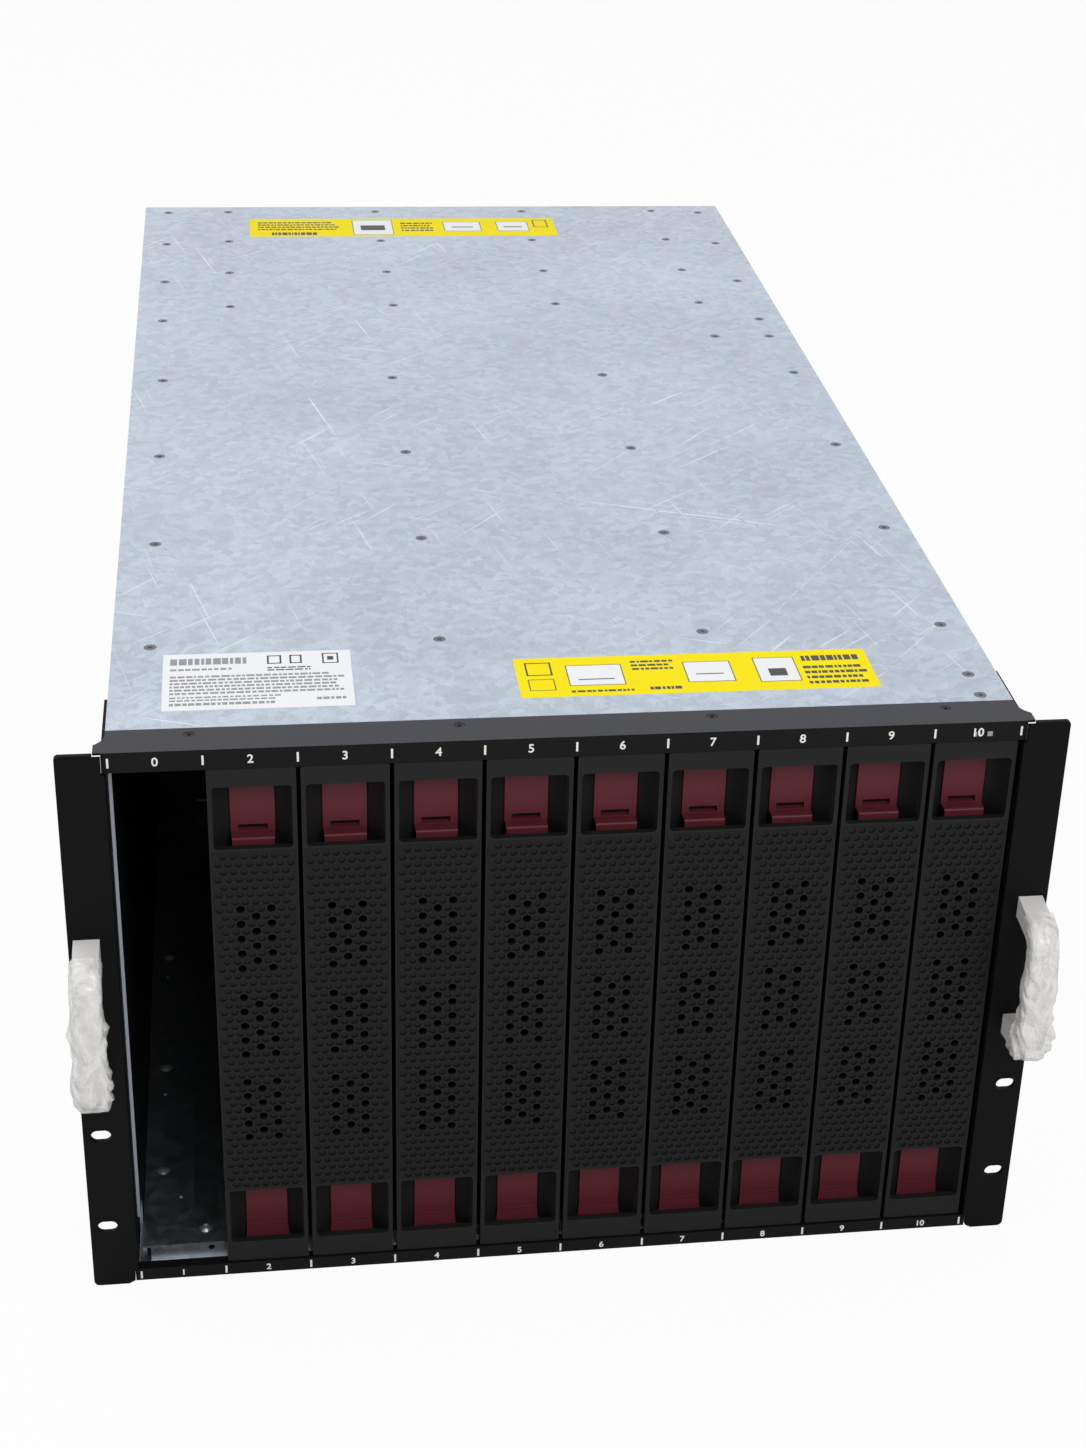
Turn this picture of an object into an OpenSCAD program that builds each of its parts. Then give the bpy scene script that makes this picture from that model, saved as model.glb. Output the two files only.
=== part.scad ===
// Rack enclosure for ten vertical blades: bay 1 stands empty and bays 2 to 10 hold filler blanks.
// X runs across the front, Y runs back from the front and Z is up. Millimetres.
// Inside the modules Y is measured from the front face of the rack ears; at_front() moves the whole
// to the middle of its own depth.

/* [Rack panel] */
// Width over the rack ears
panel_w = 482.6; // [476:0.1:490]
// Height of the panel, seven rack units less the standard clearance
panel_h = 310.4; // [306:0.1:316]
// Thickness of the ear plates
ear_t = 2.5; // [1.5:0.1:3]
// Depth of the ear's return leg along the body's side
ear_leg_d = 58; // [40:1:90]
// Distance from an ear's outer edge to the middle of its rack slots
slot_inset = 8.75; // [8:0.05:10]
// Height of the lower rack slot above the bottom
slot_z = 37.7; // [30:0.1:42]
// Distance between the two slots of one ear
slot_rise = 57.15; // [44:0.05:60]
// Height of a rack slot
slot_h = 6.8; // [5:0.1:7.5]
// Length of a rack slot
slot_l = 10; // [8:0.1:12]

/* [Body] */
// Width over the side walls
body_w = 437.8; // [436.6:0.1:446]
// Depth from the ears' front face to the cover's rear edge
body_d = 860; // [820:1:1000]
// Thickness of the side walls
wall_t = 1.6; // [1:0.1:1.6]
// Thickness of the base pan
pan_t = 1.5; // [1:0.1:3]
// Thickness of the top cover
cover_t = 1.2; // [0.8:0.1:2]
// Depth of the black front frame
frame_d = 24; // [20:0.5:30]
// Sheet thickness of the front frame, the decks and the rear cage
sheet_t = 1.2; // [0.8:0.1:1.5]
// Width of the flanges along the top and the bottom of the side walls
flange_w = 23; // [20:1:30]

/* [Front rails] */
// How far the rails stand behind the ears' front face
rail_y = 2; // [0.5:0.1:2.5]
// Height of the top rail's front face
top_rail_h = 10.6; // [9:0.1:14]
// Height of the bottom rail's front face
bottom_rail_h = 7.2; // [5:0.1:9]
// Depth of the rails' folded lips
rail_lip = 4.5; // [2:0.1:8]
// How far the top band flares out over each ear
flare = 5.1; // [2:0.1:6]

/* [Bays] */
// Distance between neighbouring blades
bay_pitch = 43.57; // [43.45:0.01:43.6]
// Height of the deck that the blades slide on
deck_z = 10.4; // [10:0.1:14]
// Where the decks begin
deck_y = 16; // [12:0.5:17]
// Depth of the decks
deck_d = 514; // [480:1:540]
// Width of the guide channel in a deck
channel_w = 13; // [8:0.5:16]
// Where the guide channels begin
channel_y = 46; // [40:1:60]
// Clearance between a blank and the decks
slide_gap = 0.5; // [0.3:0.05:1]

/* [Blanks] */
// Gap between neighbouring bezels
bezel_gap = 2.07; // [1.2:0.01:4]
// Gap between a bezel and the rails above and below
bezel_rise = 0.65; // [0.4:0.05:1.2]
// How far the bezels stand behind the ears' front face
bezel_y = 3; // [2:0.1:4]
// Thickness of a bezel
bezel_t = 3.5; // [3:0.1:5]
// Depth of the box behind the bezel
box_d = 147; // [100:1:200]
// Wall of that box
box_t = 1.5; // [1:0.1:2.5]
// How far a bezel reaches past its box on each side
bezel_reach = 0.95; // [0.5:0.05:1.5]

/* [Grille] */
// Thickness of the grille plate
grille_t = 1.8; // [1.4:0.1:2.5]
// Distance between neighbouring cells
cell_pitch = 4.89; // [4.6:0.01:4.95]
// Diameter of a blind cell
cell_d = 3.7; // [2.5:0.1:4.1]
// Diameter of an open cell
hole_d = 4.2; // [2.5:0.1:4.3]
// Depth of a blind cell
cell_deep = 0.8; // [0.4:0.1:1.2]
// Height of the grille plate's lower edge
grille_z = 54.5; // [54:0.1:56]

/* [Squeeze latches] */
// Width of a latch plate
latch_w = 21; // [16:0.5:23]
// How far a latch plate stands behind the ears' front face
latch_y = 17; // [15:0.5:18]
// Thickness of a latch plate at its runners
latch_t = 3.6; // [3:0.1:4]
// Travel of a latch
latch_travel = 4; // [2:0.5:4.5]
// Height of a finger opening
pocket_h = 33.7; // [30:0.1:34]
// Width of a finger opening
pocket_w = 37.3; // [30:0.1:37.5]
// Height of the lower finger opening's bottom edge
pocket_z = 20.1; // [19:0.1:21]
// Running clearance of a latch in its channel
latch_gap = 0.3; // [0.2:0.05:0.5]

/* [Handles] */
// Height of a handle
handle_h = 83; // [70:1:110]
// Height of a handle's lower edge
handle_z = 128; // [115:1:140]
// How far a handle stands out
handle_out = 33; // [25:1:45]
// Width of the handle bar
handle_w = 12.4; // [8:0.2:13]
// Thickness of the grip
grip_t = 8; // [5:0.5:10]
// Thickness of the handle's legs
leg_t = 11.5; // [8:0.5:14]
// Gap between the bar and its protective film
film_gap = 0.4; // [0.3:0.05:1]
// Thickness of the film sleeve's solid
film_t = 1.1; // [0.6:0.1:1.4]

/* [Rear modules] */
// Half the width between the two rear partitions
rear_mid_w = 108; // [90:1:120]
// Depth of the rear modules
module_d = 293; // [200:1:300]
// How far the rear handles reach past the cover
rear_reach = 25; // [15:1:40]
// Clearance round a rear module
module_gap = 0.6; // [0.3:0.1:1.5]

/* [Cover screws] */
// Diameter of a cover screw's head
screw_d = 6; // [4:0.1:8]
// Clearance round a screw's head
screw_gap = 0.15; // [0.05:0.05:0.4]

/* [Hidden] */
$fn = 48;
eps = 0.01;
bay_count = 10;
first_blank = 2;
blanks = [first_blank : bay_count];
psu_count = 4;
io_count = 2;

// Half widths and levels of the body
body_x = body_w / 2;
inner_x = body_x - wall_t;
ear_x = body_x + wall_t;
rail_x = ear_x - 0.2;
lip_x = body_x - 0.2;
rail_t = 1.5;
ear_outer_x = panel_w / 2;
slot_x = ear_outer_x - slot_inset;
cover_z = panel_h - cover_t;
rail_top_z = panel_h - top_rail_h;
ceiling_z = panel_h - 13.7;
deck_end = deck_y + deck_d;

// Where the cover's screws sit: rows over the bays, rows over the rear modules, and the two edges. The
// right edge's places are given; the left edge's flange takes its own
screw_places = concat(
    [for (i = [0 : 3], x = [-200, -56.5, 78.5, 204.5]) [x, 110 + i * 125.5]],
    [for (i = [0 : 3], x = [-157.5, -47, 65, 166]) [x, body_d - 232 + i * 73]],
    [for (y = [260, 178, 92, 14]) [-202, body_d - y]],
    [for (y = [268, 185, 96, 18]) [202, body_d - y]],
    [[165, body_d - 302], [202, body_d - 303], [204, frame_d + 29], [204, frame_d + 6.5]]);

// The blanks' outlines
bezel_w = bay_pitch - bezel_gap;
bezel_z0 = bottom_rail_h + bezel_rise;
bezel_z1 = rail_top_z - bezel_rise;
bezel_back = bezel_y + bezel_t;
box_x = bezel_w / 2 - bezel_reach;
box_z0 = deck_z + slide_gap;
box_z1 = ceiling_z - slide_gap;

// The grille's cells
grille_rows = 47;
cells_long_row = 8;
first_open_row = 7;
group_rows = 9;
group_step = 12;
groups = 3;
row_pitch = cell_pitch * sqrt(3) / 2;
grille_edge = 0.4;
grille_w = (cells_long_row - 1) * cell_pitch + max(cell_d, hole_d) + 2 * grille_edge;
grille_h = (grille_rows - 1) * row_pitch + max(cell_d, hole_d) + 2 * grille_edge;
seat_w = 1.2;

// The latches and what guides them
upper_z = bezel_z1 - 9.65 - pocket_h;
upper_top = upper_z + pocket_h;
lower_top = pocket_z + pocket_h - 0.8;
upper_arm_z = upper_top - 0.5;
lower_arm_z = deck_z + 3.6;
runner_x = latch_w / 2 + 1.6;
runner_y = latch_y + latch_t - 1.5;
channel_back = latch_y + latch_t + latch_gap;
block_back = channel_back + box_t;
scoop_r = pocket_w / 2;
shelf_y = latch_y - 6.5;
shelf_t = 1.6;
lip_h = 4.2;
lip_t = 1.4;
arm_x = 6;
arm_w = 4;
arm_t = 3;
nose_y = 47;
nose_d = 4.5;

// Handles, decks, screws and what stands behind the blades
handle_mid = handle_z + handle_h / 2;
bow_r = 15;
deck_x = inner_x - 0.5;
channel_x = 11.5;
midplane_y = deck_end - 10;
midplane_t = 3;
cage_y = deck_end + 10;
shelf_z = (pan_t + cover_z) / 2;
can_t = 1.2;
module_y0 = body_d - 2 - module_d;
module_h = shelf_z - sheet_t / 2 - pan_t - sheet_t - 2 * module_gap;
function module_z(upper) = (upper ? shelf_z + sheet_t / 2 : pan_t + sheet_t) + module_gap;
band_screw_x = [-180.4, -54.4, 67.1, 183];
band_screw_y = frame_d - 6.5;
shank_d = 3;
head_t = 0.7;

// The front extreme is the film on the grip, the rear one is the rear handles
film_out = handle_out + film_gap + film_t;
front_y = -(body_d + rear_reach - film_out) / 2;

function bay_x(b) = (b - (bay_count + 1) / 2) * bay_pitch;
function arc(c, r, a0, a1, n = 8) =
    [for (i = [0 : n]) let (a = a0 + (a1 - a0) * i / n) [c[0] + r * cos(a), c[1] + r * sin(a)]];
function mirror_y(points, middle) =
    [for (i = [len(points) - 1 : -1 : 0]) [points[i][0], 2 * middle - points[i][1]]];

// Helpers ------------------------------------------------------------------------------------------

module at_front() translate([0, front_y, 0]) children();
module at_bay(b) at_front() translate([bay_x(b), 0, 0]) children();

module box(x0, x1, y0, y1, z0, z1) translate([x0, y0, z0]) cube([x1 - x0, y1 - y0, z1 - z0]);

// A plate in the XZ plane from y0 on, t thick: the outline's axes are X and Z
module front_plate(y0, t) translate([0, y0 + t, 0]) rotate([90, 0, 0]) linear_extrude(t) children();

// A plate in the YZ plane from x0 on, t thick: the outline's axes are Y and Z
module side_plate(x0, t) translate([x0, 0, 0]) rotate([90, 0, 90]) linear_extrude(t) children();

module round_rect(x0, x1, z0, z1, r)
    polygon(concat(arc([x1 - r, z1 - r], r, 0, 90), arc([x0 + r, z1 - r], r, 90, 180),
                   arc([x0 + r, z0 + r], r, 180, 270), arc([x1 - r, z0 + r], r, 270, 360)));

module slot_outline(l, h) {
    square([l - h, h], center = true);
    for (s = [-1, 1]) translate([s * (l - h) / 2, 0]) circle(d = h);
}

// Body ---------------------------------------------------------------------------------------------

module base_pan() color("slategray") at_front() {
    box(-body_x, body_x, rail_y + rail_t, body_d, 0, pan_t);
    for (s = [-1, 1])
        box(s * (inner_x - 1) - 1, s * (inner_x - 1) + 1, frame_d, deck_end, pan_t - eps, pan_t + 4);
}

// A C-shaped wall, s is 1 on the right and -1 on the left: the sheet with a flange folded inward along
// its top and its bottom
module side_wall(s) difference() {
    mirror([s < 0 ? 1 : 0, 0, 0]) difference() {
        union() {
            box(inner_x, body_x, frame_d, body_d, pan_t, cover_z);
            box(body_x - flange_w, body_x, frame_d + 4, body_d, cover_z - sheet_t, cover_z);
            box(body_x - 12, body_x, cage_y + 10, body_d, pan_t, pan_t + sheet_t);
        }
        box(inner_x - 1, body_x + 1, frame_d - 1, frame_d + 14, 0, pan_t + 22);
    }
    for (p = screw_places) if (s * p[0] > body_x - flange_w - screw_d)
        translate([p[0], p[1], cover_z - sheet_t - 1]) cylinder(d = shank_d + 0.3, h = sheet_t + 2);
}
module left_side_wall() color("lightsteelblue") at_front() side_wall(-1);
module right_side_wall() color("lightsteelblue") at_front() side_wall(1);

// A flush screw: its head lies in a seat of the top sheet and its shank passes down through it
module flush_screw(d) translate([0, 0, panel_h]) difference() {
    union() {
        translate([0, 0, -screw_gap - head_t]) cylinder(d = d, h = head_t);
        translate([0, 0, -cover_t - sheet_t - 0.1]) cylinder(d = shank_d, h = cover_t + sheet_t - 0.4);
    }
    translate([0, 0, -screw_gap - 0.4]) cylinder(d = d * 0.42, h = 1, $fn = 6);
}
module screw_seat(d) {
    translate([0, 0, panel_h - screw_gap - head_t]) cylinder(d = d + 2 * screw_gap, h = 2);
    translate([0, 0, panel_h - cover_t - 1]) cylinder(d = shank_d + 0.3, h = 3);
}

module top_cover() color("lightsteelblue") at_front() difference() {
    union() {
        box(-body_x, body_x, frame_d, body_d, cover_z, panel_h);
        box(-body_x + flange_w + 1, body_x - flange_w - 1, body_d - sheet_t, body_d,
            cover_z - 1.5, cover_z + eps);
    }
    for (p = screw_places) translate([p[0], p[1], 0]) screw_seat(screw_d);
}
module cover_screws() color("silver") at_front()
    for (p = screw_places) translate([p[0], p[1], 0]) flush_screw(screw_d);

// Front frame --------------------------------------------------------------------------------------

// The band's right side in plan: it flares out in a hollow curve to cover the ear's inner corner
flare_r = 12;
band_side = concat(arc([body_x + flare_r, frame_d - 4], flare_r, 180, 180 + acos(1 - flare / flare_r), 6),
    [[body_x + flare, ear_t], [rail_x, ear_t], [rail_x, rail_y]]);

module front_top_frame() color([0.14, 0.14, 0.15]) at_front() difference() {
    union() {
        translate([0, 0, cover_z]) linear_extrude(cover_t) polygon(concat([[body_x, frame_d]], band_side,
            [for (i = [len(band_side) - 1 : -1 : 0]) [-band_side[i][0], band_side[i][1]]],
            [[-body_x, frame_d]]));
        box(-rail_x, rail_x, rail_y, rail_y + rail_t, rail_top_z, cover_z + eps);
        box(-lip_x, lip_x, rail_y + rail_t - eps, rail_y + rail_t + rail_lip,
            rail_top_z, rail_top_z + sheet_t);
        // The joggle that runs under the cover
        box(-inner_x + 1, inner_x - 1, frame_d - 7, frame_d + 3.5, cover_z - sheet_t, cover_z);
    }
    for (x = band_screw_x) translate([x, band_screw_y, 0]) {
        screw_seat(5);
        translate([0, 0, cover_z - 3]) cylinder(d = shank_d + 0.3, h = 4);
    }
}

module front_bottom_rail() color([0.11, 0.11, 0.12]) at_front() {
    box(-rail_x, rail_x, rail_y, rail_y + rail_t, 0, bottom_rail_h);
    box(-lip_x, lip_x, rail_y + rail_t - eps, rail_y + rail_t + rail_lip,
        bottom_rail_h - sheet_t, bottom_rail_h);
}

// One ear, drawn for the right side: an angle whose plate has rounded outer corners, a notch for the
// band at the top and a chamfer at the foot
module rack_ear() {
    r = 3;
    notch_x = body_x + flare + 0.2;
    difference() {
        front_plate(0, ear_t) polygon(concat(
            [[ear_x, 1.8], [ear_x + 3.1, 0]],
            arc([ear_outer_x - r, r], r, 270, 360),
            arc([ear_outer_x - 2, panel_h - 2], 2, 0, 90),
            [[notch_x, panel_h], [notch_x, cover_z - 0.6], [ear_x, cover_z - 0.6]]));
        for (z = [slot_z, slot_z + slot_rise]) front_plate(-1, ear_t + 2)
            translate([slot_x, z]) slot_outline(slot_l, slot_h);
    }
    box(body_x, ear_x + eps, 0, ear_leg_d, bottom_rail_h + 0.2, rail_top_z - 0.2);
    box(body_x, ear_x, rail_y + rail_t + 0.2, ear_leg_d, 1.8, cover_z - 0.2);
}
module left_rack_ear() color([0.1, 0.1, 0.11]) at_front() mirror([1, 0, 0]) rack_ear();
module right_rack_ear() color([0.1, 0.1, 0.11]) at_front() rack_ear();

// Handles ------------------------------------------------------------------------------------------

// The bow seen from the side, the upper half of its outer and of its inner line, each from the ear out
// to the middle of the grip. grow sets the lines outward, so the film follows the bar
function bow_outer(grow) =
    let (top = handle_mid + handle_h / 2 + grow, out = handle_out + grow, r = bow_r + grow)
    concat([[0, top]], arc([-out + 2 + r, top - 2.5 - r], r, 95, 172, 10), [[-out, handle_mid]]);
function bow_inner(grow) =
    let (top = handle_mid + handle_h / 2 - leg_t - grow, out = handle_out - grip_t - grow, r = bow_r - 6)
    concat([[1, top]], arc([-out + 1.5 + r, top - 1.5 - r], r, 97, 170, 8), [[-out, handle_mid]]);
function both_halves(points) = concat(points, mirror_y(points, handle_mid));

module bow(grow) side_plate(-handle_w / 2 - grow, handle_w + 2 * grow) difference() {
    polygon(both_halves(bow_outer(grow)));
    polygon(both_halves(bow_inner(grow)));
}
module left_handle() color("silver") at_front() translate([-slot_x, 0, 0]) bow(0);
module right_handle() color("silver") at_front() translate([slot_x, 0, 0]) bow(0);

// The film is a sleeve round the bar from the bow's upper corner to its lower one
module handle_film() intersection() {
    difference() {
        bow(film_gap + film_t);
        bow(film_gap);
    }
    box(-handle_w, handle_w, -handle_out - 5, -handle_out * 0.36, handle_z - 5, handle_z + handle_h + 5);
}
module left_handle_film() color([0.92, 0.92, 0.9]) at_front() translate([-slot_x, 0, 0])
    handle_film();
module right_handle_film() color([0.92, 0.92, 0.9]) at_front() translate([slot_x, 0, 0])
    handle_film();

// Decks --------------------------------------------------------------------------------------------

// One deck, drawn for the floor: a sheet with a channel per blade and a flange across its front
module deck(flange_h) difference() {
    union() {
        box(-deck_x, deck_x, deck_y, deck_end, -sheet_t, 0);
        box(-deck_x + 4, deck_x - 4, deck_y, deck_y + sheet_t, -flange_h, 0);
    }
    for (b = [1 : bay_count]) {
        box(bay_x(b) + channel_x - channel_w / 2, bay_x(b) + channel_x + channel_w / 2,
            channel_y, deck_end - 50, -sheet_t - 1, 1);
        translate([bay_x(b) + channel_x + 2.8, deck_y - 1, -deck_z / 2 + 1.9]) rotate([-90, 0, 0])
            cylinder(d = 3.2, h = sheet_t + 2);
    }
}
module bay_floor() color("lightsteelblue") at_front() translate([0, 0, deck_z])
    deck(deck_z - pan_t - 0.1);
module bay_ceiling() color("lightsteelblue") at_front() translate([0, 0, ceiling_z]) mirror([0, 0, 1])
    deck(cover_z - sheet_t - ceiling_z - 0.3);

// Rivets and screws --------------------------------------------------------------------------------

// A round-headed rivet of diameter d, standing h high
module dome(d, h) {
    r = (d * d / 4 + h * h) / (2 * h);
    intersection() {
        translate([0, 0, h - r]) sphere(r = r);
        cylinder(d = d, h = h);
    }
}
module rivets() color("silver") at_front() {
    for (x = band_screw_x) translate([x, band_screw_y, 0]) flush_screw(5);
    translate([bay_x(1), 0, deck_z]) {
        for (y = [78, 172, 287]) translate([-11.4, y, 0]) dome(7, 1.4);
        for (p = [[-11.9, 265], [-11.4, 147], [-1.7, 55]]) translate([p[0], p[1], 0]) dome(2.6, 0.6);
        translate([channel_x, 27.7, 0]) difference() {
            dome(7, 2);
            translate([0, 0, 1]) cylinder(d = 2.6, h = 2, $fn = 6);
        }
    }
}

// Midplane and rear cage ---------------------------------------------------------------------------

module midplane() color("darkgreen") at_front() difference() {
    union() {
        box(-inner_x + 1.5, inner_x - 1.5, midplane_y, midplane_y + midplane_t,
            deck_z + 0.3, ceiling_z - 0.3);
        for (b = [1 : bay_count], z = [deck_z + 40, ceiling_z - 110])
            box(bay_x(b) + 2, bay_x(b) + 12, midplane_y - 11, midplane_y, z, z + 70);
    }
    for (x = [-3 : 3], z = [0.47, 0.53, 0.59])
        translate([x * bay_pitch, midplane_y - 1, deck_z + z * (ceiling_z - deck_z)])
            rotate([-90, 0, 0]) cylinder(d = 9, h = midplane_t + 2);
}

module rear_cage() color("lightsteelblue") at_front() {
    for (s = [-1, 1]) box(s * rear_mid_w - sheet_t / 2, s * rear_mid_w + sheet_t / 2, cage_y, body_d - 2,
        pan_t, cover_z - 0.3);
    box(-inner_x, inner_x, cage_y, body_d - 2, shelf_z - sheet_t / 2, shelf_z + sheet_t / 2);
}

// A bar handle between x0 and x1 on a rear module's panel
module rear_handle(x0, x1, z) {
    for (x = [x0, x1]) box(x - 4, x + 4, body_d - 1 - eps, body_d + rear_reach, z - 4, z + 4);
    box(x0, x1, body_d + rear_reach - 7, body_d + rear_reach, z - 4, z + 4);
}

// A sheet metal can from x0 to x1, open at its rear, with its plug standing out in front. The children
// are the openings of the rear panel that closes it, in X and Z from the panel's lower middle
module rear_can(x0, x1, z0) {
    mid = (x0 + x1) / 2;
    difference() {
        box(x0, x1, module_y0, body_d - 1 - can_t, z0, z0 + module_h);
        box(x0 + can_t, x1 - can_t, module_y0 + can_t, body_d, z0 + can_t, z0 + module_h - can_t);
    }
    box(mid - 22, mid + 22, module_y0 - 9, module_y0 + eps, z0 + 30, z0 + 44);
    front_plate(body_d - 1 - can_t, can_t) difference() {
        translate([x0, z0]) square([x1 - x0, module_h]);
        translate([mid, z0]) children();
    }
}

// Six rows of air holes in an upright field
module air_holes(columns) for (i = [0 : columns - 1], j = [0 : 5])
    translate([(i - (columns - 1) / 2) * 9.5, 84 + j * 9.5]) circle(d = 7.5, $fn = 6);

module power_supply(n) color("gainsboro") at_front() {
    s = n % 2 == 1 ? -1 : 1;
    xa = s * (rear_mid_w + sheet_t / 2 + module_gap);
    xb = s * (inner_x - 1);
    x0 = min(xa, xb);
    x1 = max(xa, xb);
    z0 = module_z(n > 2);
    rear_can(x0, x1, z0) {
        air_holes(9);
        // The mains inlet
        translate([-14, 10]) square([28, 20]);
    }
    rear_handle(x0 + 16, x1 - 16, z0 + 56);
}
module io_module(n) color("gainsboro") at_front() {
    x1 = rear_mid_w - sheet_t / 2 - module_gap;
    z0 = module_z(n > 1);
    rear_can(-x1, x1, z0) {
        air_holes(17);
        // Two rows of sockets
        for (i = [-5 : 5], z = [12, 33]) translate([i * 17 - 7, z]) square([14, 13]);
    }
    rear_handle(-x1 + 12, -x1 + 74, z0 + 64);
    rear_handle(x1 - 74, x1 - 12, z0 + 64);
}

// Blanks -------------------------------------------------------------------------------------------

// The grille's rows count from the top; an odd row holds one cell more, half a pitch out
function row_cells(row) = cells_long_row - 1 + row % 2;
function cell_at(row, i) = [(i - (row_cells(row) - 1) / 2) * cell_pitch,
    grille_z + grille_h - grille_edge - hole_d / 2 - row * row_pitch];
function row_open(row) = row >= first_open_row && row < first_open_row + groups * group_step
    && (row - first_open_row) % group_step < group_rows;
function cell_open(row, i) = row_open(row)
    && (row % 2 == 1 ? (i == 2 || i == cells_long_row - 3) : i == (cells_long_row - 2) / 2);

// One layer of the grille from y0 on: every cell in front, only the open ones behind
module grille_layer(y0, depth, all_cells) front_plate(y0, depth) difference() {
    translate([-grille_w / 2, grille_z]) square([grille_w, grille_h]);
    for (row = [0 : grille_rows - 1], i = [0 : row_cells(row) - 1])
        if (all_cells || cell_open(row, i)) translate(cell_at(row, i))
            circle(d = cell_open(row, i) ? hole_d : cell_d);
}
module blank_grille(b) color("dimgray") at_bay(b) {
    grille_layer(bezel_y, cell_deep, true);
    grille_layer(bezel_y + cell_deep, grille_t - cell_deep, false);
}

// A guide block behind a finger opening: its hollow front is a standing scoop, and the latch runs in
// the T-shaped channel behind it
module guide_block(z0, z1, scoop_z0, scoop_z1, channel_z0, channel_z1) difference() {
    box(-box_x, box_x, bezel_back - eps, block_back, z0, z1);
    translate([0, bezel_y, scoop_z0]) cylinder(r = scoop_r, h = scoop_z1 - scoop_z0);
    box(-latch_w / 2 - latch_gap, latch_w / 2 + latch_gap, bezel_back - 1, channel_back,
        channel_z0, channel_z1);
    box(-runner_x - latch_gap, runner_x + latch_gap, runner_y - latch_gap, channel_back,
        channel_z0, channel_z1);
}

module blank_frame(b) color([0.17, 0.17, 0.18]) at_bay(b) {
    win_x = grille_w / 2 + 0.1;
    difference() {
        union() {
            front_plate(bezel_y, bezel_t)
                round_rect(-bezel_w / 2, bezel_w / 2, bezel_z0, bezel_z1, 1);
            difference() {
                box(-box_x, box_x, bezel_back - eps, bezel_back + box_d, box_z0, box_z1);
                box(-box_x + box_t, box_x - box_t, bezel_back - 1, bezel_back + box_d + 1,
                    box_z0 + box_t, box_z1 - box_t);
            }
            guide_block(upper_z - 11.8, box_z1 - eps, upper_z - 9.3, upper_top,
                upper_z - 10.8, upper_top + 3.5);
            guide_block(box_z0 + eps, lower_top + 13, box_z0 + box_t, lower_top,
                box_z0 + box_t, lower_top + 12);
            for (z = [100, 155, 210])
                box(-box_x + eps, box_x - eps, bezel_back + 60, bezel_back + 61.5, z, z + 6);
        }
        front_plate(bezel_y - 1, bezel_t + 1)
            round_rect(-pocket_w / 2, pocket_w / 2, upper_z, upper_top, 2);
        front_plate(bezel_y - 1, bezel_t + 1)
            round_rect(-pocket_w / 2, pocket_w / 2, pocket_z, lower_top, 2);
        box(-win_x, win_x, bezel_y - 1, bezel_y + grille_t, grille_z - 0.1, grille_z + grille_h + 0.1);
        box(-win_x + seat_w, win_x - seat_w, bezel_y, bezel_back,
            grille_z + seat_w, grille_z + grille_h - seat_w);
        // Ways for the latches' arms and noses
        arm_way(upper_arm_z - latch_travel, upper_arm_z + arm_t);
        arm_way(lower_arm_z, lower_arm_z + arm_t + latch_travel);
        box(arm_x - 0.8, arm_x + arm_w + 0.8, nose_y - 2, nose_y + nose_d + 2, box_z1 - box_t - 1, box_z1 + 1);
        box(arm_x - 0.8, arm_x + arm_w + 0.8, nose_y - 2, nose_y + nose_d + 2, box_z0 - 1, box_z0 + box_t + 1);
    }
}
module arm_way(z0, z1)
    box(arm_x - 0.4, arm_x + arm_w + 0.4, channel_back - 1, block_back + 1, z0 - 0.4, z1 + 0.4);

// A latch's plate between its runners, and its arm back to the nose, which stands from z0 to z1
module latch_plate(z0, z1, runner_z0) {
    box(-latch_w / 2, latch_w / 2, latch_y, runner_y + eps, z0, z1);
    box(-runner_x, runner_x, runner_y, latch_y + latch_t, runner_z0, z1);
}
module latch_arm(z, nose_z0, nose_z1) {
    box(arm_x, arm_x + arm_w, latch_y + latch_t - eps, nose_y + nose_d, z, z + arm_t);
    box(arm_x, arm_x + arm_w, nose_y, nose_y + nose_d, nose_z0, nose_z1);
}

// The upper latch carries a shelf with a hanging lip for the finger
module upper_latch(b) color("maroon") at_bay(b) {
    z0 = upper_z - 0.1;
    z1 = upper_top + 2.5;
    difference() {
        union() {
            latch_plate(z0, z1, z0);
            intersection() {
                side_plate(-latch_w / 2, latch_w) polygon(concat([[latch_y + eps, z0 + shelf_t]],
                    arc([shelf_y + 1.1, z0 + shelf_t - 1.1], 1.1, 90, 180, 5),
                    [[shelf_y, z0 - lip_h], [shelf_y + lip_t, z0 - lip_h], [shelf_y + lip_t, z0],
                     [latch_y + eps, z0]]));
                translate([0, 0, z0 - lip_h]) linear_extrude(lip_h + shelf_t) polygon([
                    [-latch_w / 2, latch_y + 1], [-latch_w / 2 + 0.5, shelf_y],
                    [latch_w / 2 - 0.5, shelf_y], [latch_w / 2, latch_y + 1]]);
            }
        }
        box(-7, 7, latch_y - 1, latch_y + latch_t + 1, z0 + shelf_t + 0.4, z0 + shelf_t + 3.8);
    }
    latch_arm(upper_arm_z, upper_arm_z, ceiling_z - 0.3);
}

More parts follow.
